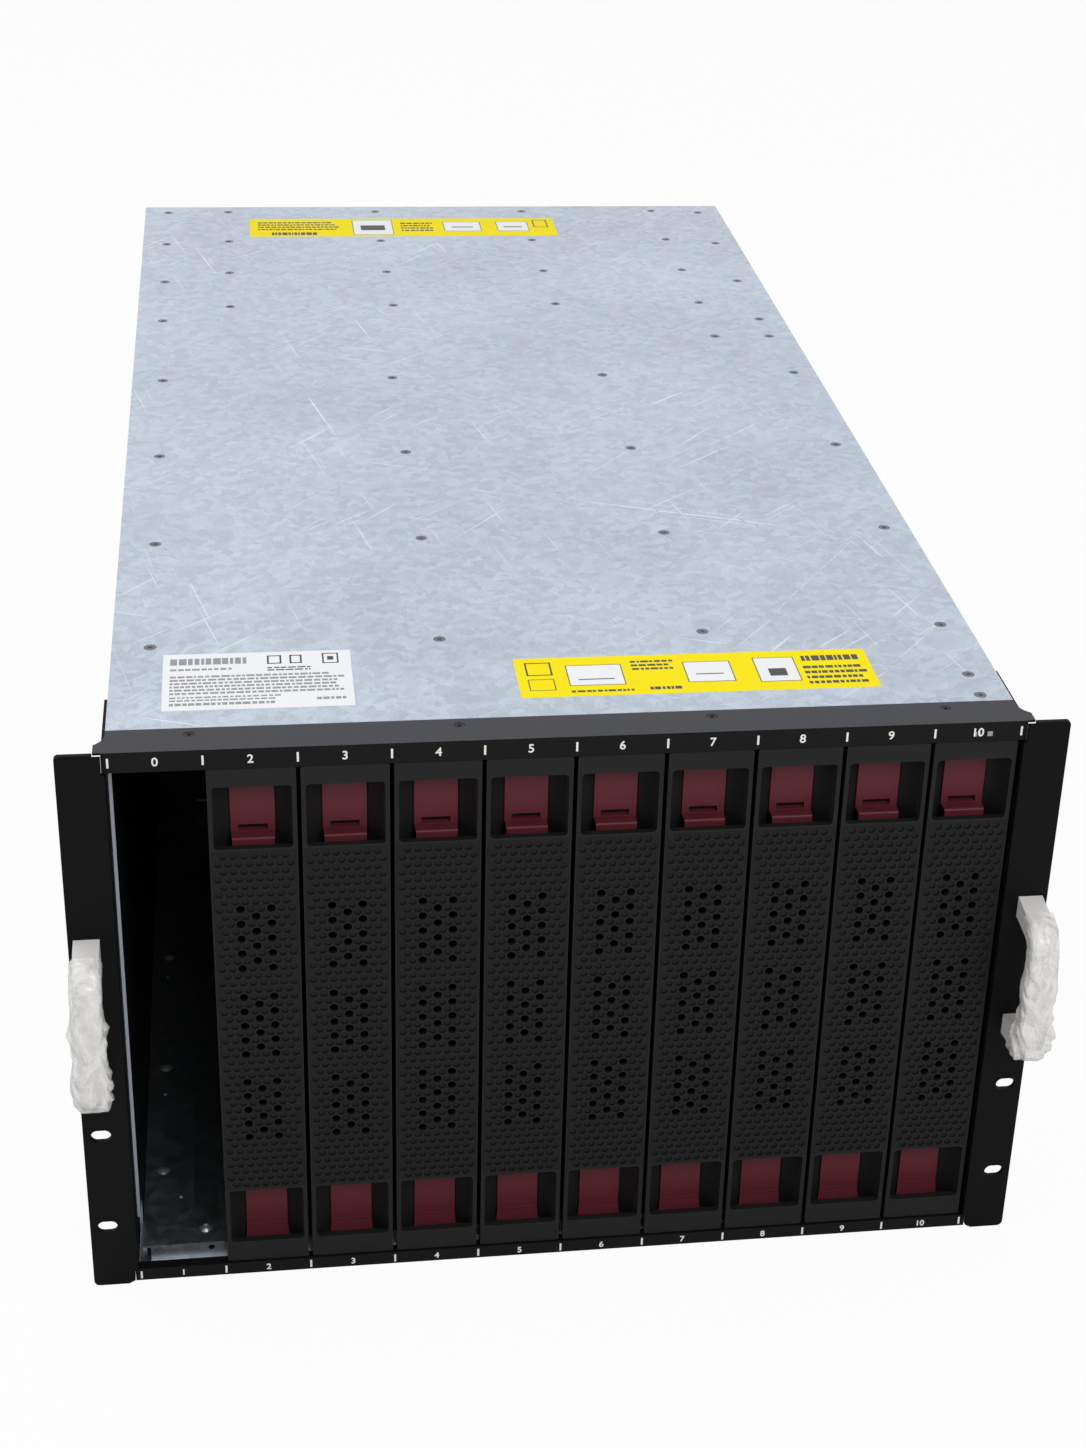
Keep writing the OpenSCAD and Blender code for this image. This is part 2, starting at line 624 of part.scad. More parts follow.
// The lower latch ends in a tongue that leans forward and widens
module lower_latch(b) color("maroon") at_bay(b) {
    z0 = pocket_z - 1.2;
    foot = box_z0 + box_t + 0.35;
    latch_plate(z0, lower_top + 4, foot + 0.8);
    box(-latch_w / 2 + 0.2, latch_w / 2 - 0.2, latch_y - 0.5, latch_y + eps, z0, z0 + 0.8);
    intersection() {
        side_plate(-latch_w, 2 * latch_w) polygon([[latch_y + 1.2, z0 + 1.5], [latch_y, z0 + 1.5],
            [latch_y - 1.5, foot], [latch_y - 0.2, foot], [latch_y + 1.2, z0]]);
        front_plate(latch_y - 3, 6) polygon([[-latch_w / 2, z0 + 1.5], [-latch_w / 2 - 0.5, foot],
            [latch_w / 2 + 0.5, foot], [latch_w / 2, z0 + 1.5]]);
    }
    latch_arm(lower_arm_z, deck_z + 0.3, lower_arm_z + arm_t);
}

// Assembly -----------------------------------------------------------------------------------------

base_pan();
left_side_wall();
right_side_wall();
top_cover();
front_top_frame();
front_bottom_rail();
left_rack_ear();
right_rack_ear();
left_handle();
right_handle();
left_handle_film();
right_handle_film();
bay_floor();
bay_ceiling();
midplane();
rear_cage();
cover_screws();
rivets();
for (b = blanks) blank_frame(b);
for (b = blanks) blank_grille(b);
for (b = blanks) upper_latch(b);
for (b = blanks) lower_latch(b);
for (p = [1 : psu_count]) power_supply(p);
for (m = [1 : io_count]) io_module(m);
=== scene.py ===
"""Ten-bay blade enclosure: finishes, printed marks, labels, handle film, lights and camera."""
import bpy
import math
import numpy as np
from mathutils import Matrix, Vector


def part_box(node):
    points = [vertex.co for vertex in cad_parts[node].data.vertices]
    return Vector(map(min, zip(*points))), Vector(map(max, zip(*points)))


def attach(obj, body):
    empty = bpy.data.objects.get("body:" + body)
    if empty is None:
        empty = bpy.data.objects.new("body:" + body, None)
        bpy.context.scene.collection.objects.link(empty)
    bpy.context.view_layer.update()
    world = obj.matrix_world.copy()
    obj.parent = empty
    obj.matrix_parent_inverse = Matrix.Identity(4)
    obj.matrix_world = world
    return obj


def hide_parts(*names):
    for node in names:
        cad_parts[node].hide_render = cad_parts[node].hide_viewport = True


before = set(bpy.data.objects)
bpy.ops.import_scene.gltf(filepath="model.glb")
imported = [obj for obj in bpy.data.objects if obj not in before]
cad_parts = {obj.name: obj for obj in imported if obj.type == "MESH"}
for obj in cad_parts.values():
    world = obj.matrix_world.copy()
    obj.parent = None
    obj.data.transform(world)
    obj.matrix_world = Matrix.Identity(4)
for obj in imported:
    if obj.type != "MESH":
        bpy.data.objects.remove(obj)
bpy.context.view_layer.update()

MM = 0.001
BLANKS = range(2, 11)
BAY_PITCH = 43.57
BAY_COUNT = 10
RNG = np.random.default_rng(11)

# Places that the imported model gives, in metres
EAR_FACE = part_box("right_rack_ear")[0][1]     # the ears' front face, from which depths are measured below
BAND_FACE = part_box("front_top_frame")[0][1]   # the band's front face
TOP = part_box("top_cover")[1][2]               # the cover's upper face


def place(x, y, z):
    """A point in millimetres: X from the middle, Y back from the ears' face, Z from the bottom."""
    return np.array([x * MM, EAR_FACE + y * MM, z * MM])


def bay_x(bay):
    """The middle of a bay, in millimetres."""
    return (bay - (BAY_COUNT + 1) / 2) * BAY_PITCH


# ---------------------------------------------------------------- shader groups

def new_group(name, inputs, outputs):
    """An empty shader node group with named sockets; returns it with its two end nodes."""
    group = bpy.data.node_groups.new(name, "ShaderNodeTree")
    for label, kind, value in inputs:
        sock = group.interface.new_socket(label, in_out="INPUT", socket_type=kind)
        if value is not None:
            sock.default_value = value
    for label, kind in outputs:
        group.interface.new_socket(label, in_out="OUTPUT", socket_type=kind)
    return group, group.nodes.new("NodeGroupInput"), group.nodes.new("NodeGroupOutput")


def math_node(tree, operation, a, b=None, clamp=False):
    """A Math node; a and b are numbers or sockets."""
    node = tree.nodes.new("ShaderNodeMath")
    node.operation = operation
    node.use_clamp = clamp
    for slot, value in enumerate((a, b)):
        if value is None:
            continue
        if isinstance(value, (int, float)):
            node.inputs[slot].default_value = value
        else:
            tree.links.new(value, node.inputs[slot])
    return node.outputs[0]


def noise_node(tree, vector, scale, detail=3.0, roughness=0.5, distortion=0.0):
    """A Noise Texture's value at a scale in cells per metre."""
    node = tree.nodes.new("ShaderNodeTexNoise")
    node.inputs["Detail"].default_value = detail
    node.inputs["Roughness"].default_value = roughness
    node.inputs["Distortion"].default_value = distortion
    if isinstance(scale, (int, float)):
        node.inputs["Scale"].default_value = scale
    else:
        tree.links.new(scale, node.inputs["Scale"])
    tree.links.new(vector, node.inputs["Vector"])
    return node.outputs["Fac"]


def stretch_node(tree, vector, scale, turn=(0.0, 0.0, 0.0)):
    """Coordinates stretched by a factor along each axis, after a turn in radians."""
    node = tree.nodes.new("ShaderNodeMapping")
    node.inputs["Scale"].default_value = scale
    node.inputs["Rotation"].default_value = turn
    tree.links.new(vector, node.inputs["Vector"])
    return node.outputs[0]


def range_node(tree, value, lo, hi, out_lo=0.0, out_hi=1.0):
    """A clamped linear map of value from lo..hi to out_lo..out_hi."""
    node = tree.nodes.new("ShaderNodeMapRange")
    for label, number in (("From Min", lo), ("From Max", hi), ("To Min", out_lo), ("To Max", out_hi)):
        node.inputs[label].default_value = number
    tree.links.new(value, node.inputs["Value"])
    return node.outputs[0]


def build_mottle():
    """Rolled zinc: soft clouds, small crystal patches and a fine grain, as a tint of about 1."""
    group, start, end = new_group(
        "zinc_mottle",
        [("Vector", "NodeSocketVector", None), ("Amount", "NodeSocketFloat", 0.2)],
        [("Tint", "NodeSocketFloat"), ("Rough", "NodeSocketFloat"), ("Height", "NodeSocketFloat")])
    vec = start.outputs["Vector"]
    cloud = noise_node(group, vec, 9.0, 4.0, 0.6)
    patch = group.nodes.new("ShaderNodeTexVoronoi")
    patch.inputs["Scale"].default_value = 210.0
    patch.inputs["Randomness"].default_value = 1.0
    warp = noise_node(group, vec, 60.0, 2.0)
    shift = group.nodes.new("ShaderNodeVectorMath")
    shift.operation = "MULTIPLY_ADD"
    group.links.new(warp, shift.inputs[0])
    shift.inputs[1].default_value = (0.012, 0.012, 0.012)
    group.links.new(vec, shift.inputs[2])
    group.links.new(shift.outputs[0], patch.inputs["Vector"])
    grain = noise_node(group, stretch_node(group, vec, (1.0, 0.35, 1.0)), 900.0, 3.0, 0.7)
    crystal = patch.outputs["Color"]
    split = group.nodes.new("ShaderNodeSeparateColor")
    group.links.new(crystal, split.inputs[0])
    total = math_node(group, "ADD", math_node(group, "MULTIPLY", cloud, 0.9),
                      math_node(group, "ADD", math_node(group, "MULTIPLY", split.outputs[0], 0.42),
                                math_node(group, "MULTIPLY", grain, 0.7)))
    centred = math_node(group, "SUBTRACT", total, 1.01)
    tint = math_node(group, "ADD", math_node(group, "MULTIPLY", centred, start.outputs["Amount"]), 1.0)
    group.links.new(tint, end.inputs["Tint"])
    group.links.new(math_node(group, "ADD", split.outputs[1], grain), end.inputs["Rough"])
    group.links.new(grain, end.inputs["Height"])
    return group


def build_scratches():
    """Fine straight handling marks in several directions, as a mask."""
    group, start, end = new_group(
        "fine_scratches",
        [("Vector", "NodeSocketVector", None), ("Scale", "NodeSocketFloat", 1.0),
         ("Amount", "NodeSocketFloat", 0.5)],
        [("Mask", "NodeSocketFloat")])
    total = None
    for index, angle in enumerate((0.35, -0.9, 1.35, 2.4)):
        vec = stretch_node(group, start.outputs["Vector"], (1.0, 1.0, 1.0), (0.0, 0.0, angle))
        vec = stretch_node(group, vec, (14.0, 700.0, 14.0))
        scaled = group.nodes.new("ShaderNodeVectorMath")
        scaled.operation = "SCALE"
        group.links.new(vec, scaled.inputs[0])
        group.links.new(start.outputs["Scale"], scaled.inputs["Scale"])
        line = noise_node(group, scaled.outputs[0], 1.0, 0.0)
        line = range_node(group, line, 0.80 - 0.01 * index, 0.86)
        total = line if total is None else math_node(group, "MAXIMUM", total, line)
    where = noise_node(group, start.outputs["Vector"], 7.0, 2.0)
    where = range_node(group, where, 0.45, 0.62)
    mask = math_node(group, "MULTIPLY", math_node(group, "MULTIPLY", total, where), start.outputs["Amount"])
    group.links.new(mask, end.inputs["Mask"])
    return group


def build_moulded_grain():
    """Spark-eroded mould grain with a faint cloud, as a height and a tint of about 1."""
    group, start, end = new_group(
        "moulded_grain",
        [("Vector", "NodeSocketVector", None), ("Scale", "NodeSocketFloat", 1.0),
         ("Tint amount", "NodeSocketFloat", 0.1)],
        [("Height", "NodeSocketFloat"), ("Tint", "NodeSocketFloat")])
    fine = group.nodes.new("ShaderNodeMath")
    fine.operation = "MULTIPLY"
    group.links.new(start.outputs["Scale"], fine.inputs[0])
    fine.inputs[1].default_value = 2200.0
    height = noise_node(group, start.outputs["Vector"], fine.outputs[0], 2.0, 0.6)
    cloud = noise_node(group, start.outputs["Vector"], 26.0, 3.0, 0.6)
    tint = math_node(group, "ADD", math_node(group, "MULTIPLY", math_node(group, "SUBTRACT", cloud, 0.5),
                                             start.outputs["Tint amount"]), 1.0)
    group.links.new(height, end.inputs["Height"])
    group.links.new(tint, end.inputs["Tint"])
    return group


def build_dust():
    """Settled dust: more on faces that look up, broken by noise, as a mask."""
    group, start, end = new_group(
        "settled_dust",
        [("Vector", "NodeSocketVector", None), ("Normal", "NodeSocketVector", None),
         ("Amount", "NodeSocketFloat", 0.2)],
        [("Mask", "NodeSocketFloat")])
    split = group.nodes.new("ShaderNodeSeparateXYZ")
    group.links.new(start.outputs["Normal"], split.inputs[0])
    up = range_node(group, split.outputs[2], 0.2, 1.0)
    specks = range_node(group, noise_node(group, start.outputs["Vector"], 380.0, 4.0, 0.8), 0.45, 0.75)
    mask = math_node(group, "MULTIPLY", math_node(group, "MULTIPLY", up, specks), start.outputs["Amount"])
    group.links.new(mask, end.inputs["Mask"])
    return group


MOTTLE = build_mottle()
SCRATCHES = build_scratches()
GRAIN = build_moulded_grain()
DUST = build_dust()


# ---------------------------------------------------------------- materials

class Finish:
    """A material with its Principled shader and its Object coordinates at hand."""

    def __init__(self, name, color, roughness, metallic=0.0, specular=0.5):
        self.material = bpy.data.materials.new(name)
        self.material.use_nodes = True
        self.tree = self.material.node_tree
        self.shader = self.tree.nodes["Principled BSDF"]
        self.color = color
        self.shader.inputs["Base Color"].default_value = (*color, 1.0)
        self.shader.inputs["Roughness"].default_value = roughness
        self.shader.inputs["Metallic"].default_value = metallic
        self.shader.inputs["Specular IOR Level"].default_value = specular
        self.vector = self.tree.nodes.new("ShaderNodeTexCoord").outputs["Object"]

    def use(self, group, **values):
        """Place a group, fed with the coordinates and with its own values."""
        node = self.tree.nodes.new("ShaderNodeGroup")
        node.node_tree = group
        self.tree.links.new(self.vector, node.inputs["Vector"])
        for label, value in values.items():
            node.inputs[label.replace("_", " ")].default_value = value
        return node

    def link(self, socket, name):
        self.tree.links.new(socket, self.shader.inputs[name])

    def mix(self, factor, a, b):
        """Colour a turned towards b by factor; each is a colour or a socket."""
        node = self.tree.nodes.new("ShaderNodeMix")
        node.data_type = "RGBA"
        for slot, value in ((0, factor), (6, a), (7, b)):
            if isinstance(value, (int, float)):
                node.inputs[slot].default_value = value
            elif isinstance(value, tuple):
                node.inputs[slot].default_value = (*value, 1.0)
            else:
                self.tree.links.new(value, node.inputs[slot])
        return node.outputs[2]

    def tinted(self, tint):
        """The finish's colour times a tint socket."""
        node = self.tree.nodes.new("ShaderNodeVectorMath")
        node.operation = "SCALE"
        node.inputs[0].default_value = self.color
        self.tree.links.new(tint, node.inputs["Scale"])
        return node.outputs[0]

    def bump(self, height, distance, strength=1.0):
        node = self.tree.nodes.new("ShaderNodeBump")
        node.inputs["Strength"].default_value = strength
        node.inputs["Distance"].default_value = distance
        self.tree.links.new(height, node.inputs["Height"])
        self.link(node.outputs["Normal"], "Normal")


def zinc_sheet(name, color, roughness, amount, scratch):
    """Galvanised sheet: mottled metal with fine bright handling marks."""
    f = Finish(name, color, roughness, metallic=1.0)
    mottle = f.use(MOTTLE, Amount=amount)
    marks = f.use(SCRATCHES, Scale=1.0, Amount=scratch)
    f.link(f.mix(marks.outputs["Mask"], f.tinted(mottle.outputs["Tint"]), (0.86, 0.89, 0.92)), "Base Color")
    rough = range_node(f.tree, mottle.outputs["Rough"], 0.5, 1.6, roughness - 0.05, roughness + 0.07)
    f.link(rough, "Roughness")
    f.bump(mottle.outputs["Height"], 0.00004, 0.35)
    return f.material


def moulded(name, color, roughness, specular, tint=0.12, dust=0.0, grain=1.0):
    """Moulded plastic or powder paint: fine grain, a faint cloud and a little dust."""
    f = Finish(name, color, roughness, specular=specular)
    g = f.use(GRAIN, Scale=grain, Tint_amount=tint)
    col = f.tinted(g.outputs["Tint"])
    if dust > 0.0:
        d = f.use(DUST, Amount=dust)
        geo = f.tree.nodes.new("ShaderNodeNewGeometry")
        f.tree.links.new(geo.outputs["Normal"], d.inputs["Normal"])
        col = f.mix(d.outputs["Mask"], col, (0.42, 0.42, 0.43))
    f.link(col, "Base Color")
    f.bump(g.outputs["Height"], 0.00003, 0.5)
    return f.material


def normal_axis(f, axis):
    """One axis of the surface's normal, as a socket."""
    geo = f.tree.nodes.new("ShaderNodeNewGeometry")
    split = f.tree.nodes.new("ShaderNodeSeparateXYZ")
    f.tree.links.new(geo.outputs["Normal"], split.inputs[0])
    return split.outputs[axis]


def object_axis(f, axis):
    """One axis of the Object coordinates in metres, as a socket."""
    split = f.tree.nodes.new("ShaderNodeSeparateXYZ")
    f.tree.links.new(f.vector, split.inputs[0])
    return split.outputs[axis]


def two_tone(name, color, other, roughness, specular, axis, lo, hi, source=normal_axis, metallic=0.0):
    """Paint or metal that turns from color to other where a normal's or a place's axis goes from lo to hi; on
    the left wall and the band this turn is painted shade and a painted sheen, on the fasteners it is their
    real colour.
    """
    f = Finish(name, color, roughness, metallic, specular)
    g = f.use(GRAIN, Scale=1.0, Tint_amount=0.14)
    mask = range_node(f.tree, source(f, axis), lo, hi)
    f.link(f.mix(mask, f.tinted(g.outputs["Tint"]), other), "Base Color")
    f.bump(g.outputs["Height"], 0.00003, 0.5)
    return f


def plain(name, color, roughness, specular=0.4, metallic=0.0):
    """Printed ink or bare small metal, with the same fine grain."""
    f = Finish(name, color, roughness, metallic=metallic, specular=specular)
    g = f.use(GRAIN, Scale=0.8, Tint_amount=0.08)
    f.link(f.tinted(g.outputs["Tint"]), "Base Color")
    return f.material


COVER_ZINC = zinc_sheet("galvanised_cover", (0.485, 0.545, 0.625), 0.43, 0.42, 0.75)
INNER_ZINC = zinc_sheet("galvanised_inner", (0.42, 0.45, 0.48), 0.42, 0.30, 0.2)
MODULE_ZINC = zinc_sheet("module_sheet", (0.52, 0.54, 0.56), 0.40, 0.16, 0.2)
# Left wall: galvanised outside; its inner face, which looks along +X into the empty first bay, is painted
# near-black as painted shade
WALL_PAINTED_SHADE = two_tone("galvanised_wall_painted_shade", (0.44, 0.48, 0.53), (0.006, 0.007, 0.011), 0.5, 0.2, 0, 0.3, 0.7)
WALL_PAINTED_SHADE.shader.inputs["Metallic"].default_value = 0.6
WALL_ZINC_PAINTED_SHADE = WALL_PAINTED_SHADE.material
# Black band: its faces that look up are painted lighter, a painted sheen that stands for the reflection of
# the bright backdrop
BAND_WITH_PAINTED_SHEEN = two_tone("black_band_painted_sheen", (0.0048, 0.0048, 0.0052), (0.056, 0.057, 0.065),
                      0.5, 0.12, 2, 0.4, 0.8).material
RAIL_PAINT = moulded("black_rail", (0.0050, 0.0050, 0.0056), 0.45, 0.12, 0.10)
EAR_PAINT = moulded("black_ear", (0.0040, 0.0040, 0.0041), 0.55, 0.08, 0.12)
BEZEL = moulded("charcoal_bezel", (0.0105, 0.0105, 0.0110), 0.50, 0.17, 0.10)
GRILLE = moulded("charcoal_grille", (0.0078, 0.0078, 0.0081), 0.46, 0.16, 0.12)
LATCH = moulded("maroon_latch", (0.112, 0.0185, 0.0280), 0.42, 0.20, 0.10)
BOARD = moulded("circuit_board", (0.010, 0.030, 0.018), 0.45, 0.3, 0.2)
HANDLE = moulded("satin_handle", (0.74, 0.73, 0.72), 0.36, 0.5, 0.06)
SCREW = plain("screw_steel", (0.17, 0.18, 0.19), 0.34, 0.5, 1.0)
RIVET = two_tone("fastener_steel", (0.30, 0.31, 0.33), (0.016, 0.016, 0.017), 0.35, 0.4, 2, 0.299, 0.301,
                 object_axis, 0.7).material
WHITE_INK = plain("white_ink", (0.80, 0.80, 0.78), 0.5)
YELLOW = plain("yellow_label", (1.0, 0.83, 0.002), 0.55, 0.12)
PAPER = plain("white_label", (0.90, 0.92, 0.94), 0.45)
INK = plain("black_ink", (0.050, 0.050, 0.045), 0.5)
GREY_INK = plain("grey_ink", (0.30, 0.31, 0.32), 0.5)
MARK = plain("scratch_mark", (0.82, 0.85, 0.88), 0.5)


def film_finish():
    """Thin clear wrapping: half see-through, milky where it creases."""
    f = Finish("clear_wrap", (0.93, 0.92, 0.90), 0.22, 0.0, 0.6)
    crease = noise_node(f.tree, stretch_node(f.tree, f.vector, (1.0, 1.0, 0.5)), 85.0, 3.0, 0.6, 1.8)
    veil = range_node(f.tree, crease, 0.38, 0.64, 0.22, 0.66)
    f.link(veil, "Alpha")
    f.bump(crease, 0.0006, 0.7)
    return f.material


FILM = film_finish()


def dress(node, material):
    """Give a CAD node's every slot a finish."""
    obj = bpy.data.objects[node]
    if not obj.data.materials:
        obj.data.materials.append(material)
    for slot in obj.material_slots:
        slot.material = material


for name, material in {
        "base_pan": INNER_ZINC, "left_side_wall": WALL_ZINC_PAINTED_SHADE, "right_side_wall": COVER_ZINC,
        "top_cover": COVER_ZINC, "front_top_frame": BAND_WITH_PAINTED_SHEEN, "front_bottom_rail": RAIL_PAINT,
        "left_rack_ear": EAR_PAINT, "right_rack_ear": EAR_PAINT, "left_handle": HANDLE,
        "right_handle": HANDLE, "bay_floor": INNER_ZINC, "bay_ceiling": INNER_ZINC,
        "midplane": BOARD, "rear_cage": INNER_ZINC, "cover_screws": SCREW, "rivets": RIVET,
        "power_supply_1": MODULE_ZINC, "power_supply_2": MODULE_ZINC, "power_supply_3": MODULE_ZINC,
        "power_supply_4": MODULE_ZINC, "io_module_1": MODULE_ZINC, "io_module_2": MODULE_ZINC}.items():
    dress(name, material)
for b in BLANKS:
    dress(f"blank_{b}_frame", BEZEL)
    dress(f"blank_{b}_grille", GRILLE)
    dress(f"blank_{b}_upper_latch", LATCH)
    dress(f"blank_{b}_lower_latch", LATCH)


# Rounded edges, so that they catch the light as moulded, folded and painted edges do
SHARP = 0.9                   # an edge turns by more than this many radians


def soften(node, width):
    """A small rounding along the sharp edges of a CAD node or of a piece."""
    edge = bpy.data.objects[node].modifiers.new("rounded_edges", "BEVEL")
    edge.width = width
    edge.segments = 2
    edge.limit_method = "ANGLE"
    edge.angle_limit = SHARP


for name, width in {"front_top_frame": 0.0005, "front_bottom_rail": 0.0004, "left_rack_ear": 0.0004,
                    "right_rack_ear": 0.0004, "left_handle": 0.0010, "right_handle": 0.0010}.items():
    soften(name, width)
for b in BLANKS:
    soften(f"blank_{b}_frame", 0.0004)
    soften(f"blank_{b}_upper_latch", 0.0003)
    soften(f"blank_{b}_lower_latch", 0.0003)


# ---------------------------------------------------------------- mesh helpers

def piece(name, verts, faces, material, body, slot, smooth=False):
    """A mesh piece from arrays, riding on a body."""
    mesh = bpy.data.meshes.new(name)
    mesh.from_pydata(np.asarray(verts, float).tolist(), [], [tuple(int(i) for i in f) for f in faces])
    mesh.update()
    if smooth:
        mesh.shade_smooth()
    obj = bpy.data.objects.new(name, mesh)
    bpy.context.scene.collection.objects.link(obj)
    mesh.materials.append(material)
    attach(obj, body)
    return obj


def slab_arrays(boxes):
    """Many boxes at once: rows of x0, x1, y0, y1, z0, z1 in metres become corner and face arrays."""
    b = np.asarray(boxes, float).reshape(-1, 6)
    pick = np.array([[0, 2, 4], [1, 2, 4], [1, 3, 4], [0, 3, 4], [0, 2, 5], [1, 2, 5], [1, 3, 5], [0, 3, 5]])
    verts = b[:, pick].reshape(-1, 3)
    quad = np.array([[0, 3, 2, 1], [4, 5, 6, 7], [0, 1, 5, 4], [1, 2, 6, 5], [2, 3, 7, 6], [3, 0, 4, 7]])
    faces = (quad[None] + 8 * np.arange(len(b))[:, None, None]).reshape(-1, 4)
    return verts, faces


def printed(name, text, size, centre, body, material, depth=0.00008):
    """A printed number: text turned to a mesh, then stood up to face the front."""
    curve = bpy.data.curves.new(name + "_outline", "FONT")
    curve.body = text
    curve.size = size
    curve.align_x = "CENTER"
    curve.align_y = "CENTER"
    curve.extrude = depth / 2
    curve.offset = 0.00011
    temp = bpy.data.objects.new(name + "_outline", curve)
    bpy.context.scene.collection.objects.link(temp)
    bpy.context.view_layer.update()
    mesh = bpy.data.meshes.new_from_object(temp.evaluated_get(bpy.context.evaluated_depsgraph_get()))
    bpy.data.objects.remove(temp)
    bpy.data.curves.remove(curve)
    co = np.empty(len(mesh.vertices) * 3)
    mesh.vertices.foreach_get("co", co)
    co = co.reshape(-1, 3)
    co[:, :2] -= (co[:, :2].max(0) + co[:, :2].min(0)) / 2
    co = np.stack([co[:, 0], -co[:, 2] - depth / 2, co[:, 1]], 1)
    co += centre
    mesh.vertices.foreach_set("co", co.ravel())
    mesh.update()
    mesh.name = name
    obj = bpy.data.objects.new(name, mesh)
    bpy.context.scene.collection.objects.link(obj)
    mesh.materials.clear()
    mesh.materials.append(material)
    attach(obj, body)
    return obj


# ---------------------------------------------------------------- printed marks on the rails

RAIL_FACE = (BAND_FACE - EAR_FACE) / MM
TOP_MARK_Z = 305.0
BOTTOM_MARK_Z = 3.5
MARK_LIMIT_X = 217.4          # the outer ticks keep inside the side walls
for row, z, labels in (("top", TOP_MARK_Z, ["0"] + [str(b) for b in BLANKS]),
                       ("bottom", BOTTOM_MARK_Z, [str(b) for b in range(1, 11)])):
    for b, text in enumerate(labels, 1):
        printed(f"{row}_number_{b}", text, 0.0062 if row == "top" else 0.0050,
                place(bay_x(b), RAIL_FACE, z), "chassis", WHITE_INK)
    ticks = []
    for b in range(BAY_COUNT + 1):
        x = bay_x(b) + BAY_PITCH / 2
        x = max(min(x, MARK_LIMIT_X), -MARK_LIMIT_X)
        h = 2.5 if row == "top" else 2.3
        lo, hi = place(x - 0.5, RAIL_FACE - 0.08, z - h), place(x + 0.5, RAIL_FACE + 0.02, z + h)
        ticks.append([lo[0], hi[0], lo[1], hi[1], lo[2], hi[2]])
    piece(f"{row}_ticks", *slab_arrays(ticks), WHITE_INK, "chassis", "black_paint")


# Two small plain marks to the right of the last number: a pair of bars and a square
SMALL_MARK_Z = 304.0
for name, marks in {"top_mark_1": [(194.2, 195.2, 2.4), (196.0, 197.0, 2.4)],
                    "top_mark_2": [(200.4, 203.0, 2.6)]}.items():
    rows = []
    for x0, x1, h in marks:
        lo = place(x0, RAIL_FACE - 0.07, SMALL_MARK_Z - h / 2)
        hi = place(x1, RAIL_FACE + 0.02, SMALL_MARK_Z + h / 2)
        rows.append([lo[0], hi[0], lo[1], hi[1], lo[2], hi[2]])
    piece(name, *slab_arrays(rows), GREY_INK, "chassis", "black_paint")


# ---------------------------------------------------------------- cover skin, stickers and scratches

SINK = 0.00010                # the cover's shown skin lies this far down, so what is on it stays in the box
SHEET_T = 0.00003             # thickness of a sticker, of its print and of a scratch's raised burr
source = bpy.data.objects["top_cover"]
skin_mesh = source.data.copy()
co = np.empty(len(skin_mesh.vertices) * 3)
skin_mesh.vertices.foreach_get("co", co)
co = co.reshape(-1, 3)
co[co[:, 2] > TOP - 1e-5, 2] = TOP - SINK
skin_mesh.vertices.foreach_set("co", co.ravel())
skin_mesh.update()
skin = bpy.data.objects.new("cover_skin", skin_mesh)
bpy.context.scene.collection.objects.link(skin)
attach(skin, "chassis")
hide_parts("top_cover")
soften("cover_skin", 0.0005)


def flat_rows(rects, layer):
    """Rows of x0, x1, y0, y1 in millimetres on the cover become thin boxes on that layer."""
    out = []
    z0 = TOP - SINK + layer * SHEET_T
    for x0, x1, y0, y1 in rects:
        lo, hi = place(x0, y0, 0), place(x1, y1, 0)
        out.append([lo[0], hi[0], lo[1], hi[1], z0 - 0.00001, z0 + SHEET_T])
    return slab_arrays(out)


def sticker(name, rect, paper, prints):
    """A sticker on the cover: its sheet, then its printed shapes by ink."""
    piece(name, *flat_rows([rect], 0), paper, "chassis", "galvanised_sheet")
    for layer, (label, ink, rects) in enumerate(prints):
        piece(f"{name}_{label}", *flat_rows(rects, 1 + layer * 0.5), ink, "chassis", "galvanised_sheet")


def bars(x0, x1, y0, y1, rows, fill=0.5):
    """Lines of short bars between y1 (first line) and y0 (last), of uneven lengths."""
    out, pitch = [], (y1 - y0) / rows
    for r in range(rows):
        y = y1 - (r + 0.5) * pitch
        x, end = x0, x1 - RNG.uniform(0, 0.15) * (x1 - x0)
        while x < end:
            w = RNG.uniform(1.2, 4.2)
            out.append((x, min(x + w, x1), y - pitch * fill / 2, y + pitch * fill / 2))
            x += w + RNG.uniform(0.5, 0.9)
    return out


def framed(x0, x1, y0, y1, line=0.5):
    """A square outline of four bars."""
    return [(x0, x1, y0, y0 + line), (x0, x1, y1 - line, y1),
            (x0, x0 + line, y0, y1), (x1 - line, x1, y0, y1)]


sticker("front_yellow_sticker", (-22, 157, 43, 85), YELLOW, [
    ("pictures", PAPER, [(3, 31, 54, 76), (62, 86, 54, 76), (98, 119, 52, 78)]),
    ("ink", INK, framed(3, 31, 54, 76) + framed(62, 86, 54, 76) + framed(98, 119, 52, 78)
     + framed(-17, -4, 50, 62) + framed(-17, -4, 66, 80, 0.9)
     + bars(36, 58, 68, 80, 3) + bars(3, 34, 46, 50, 1)
     + bars(42, 60, 46, 52, 1) + bars(123, 153, 72, 80, 1, 0.7) + bars(122, 154, 47, 69, 4)
     + [(8, 26, 60, 61), (67, 81, 62, 63), (104, 113, 58, 66)])])
sticker("rear_yellow_sticker", (-142, 86, 785, 829), YELLOW, [
    ("pictures", PAPER, [(-66, -36, 789, 825), (2, 30, 797, 820), (42, 66, 797, 820)]),
    ("ink", INK, framed(-66, -36, 789, 825) + framed(2, 30, 797, 820) + framed(42, 66, 797, 820)
     + framed(70, 81, 806, 824, 0.9) + bars(-136, -74, 800, 822, 4) + bars(-126, -92, 788, 796, 1, 0.8)
     + bars(-30, -6, 796, 820, 4) + [(-60, -42, 800, 812), (8, 24, 806, 808), (47, 61, 806, 808)])])
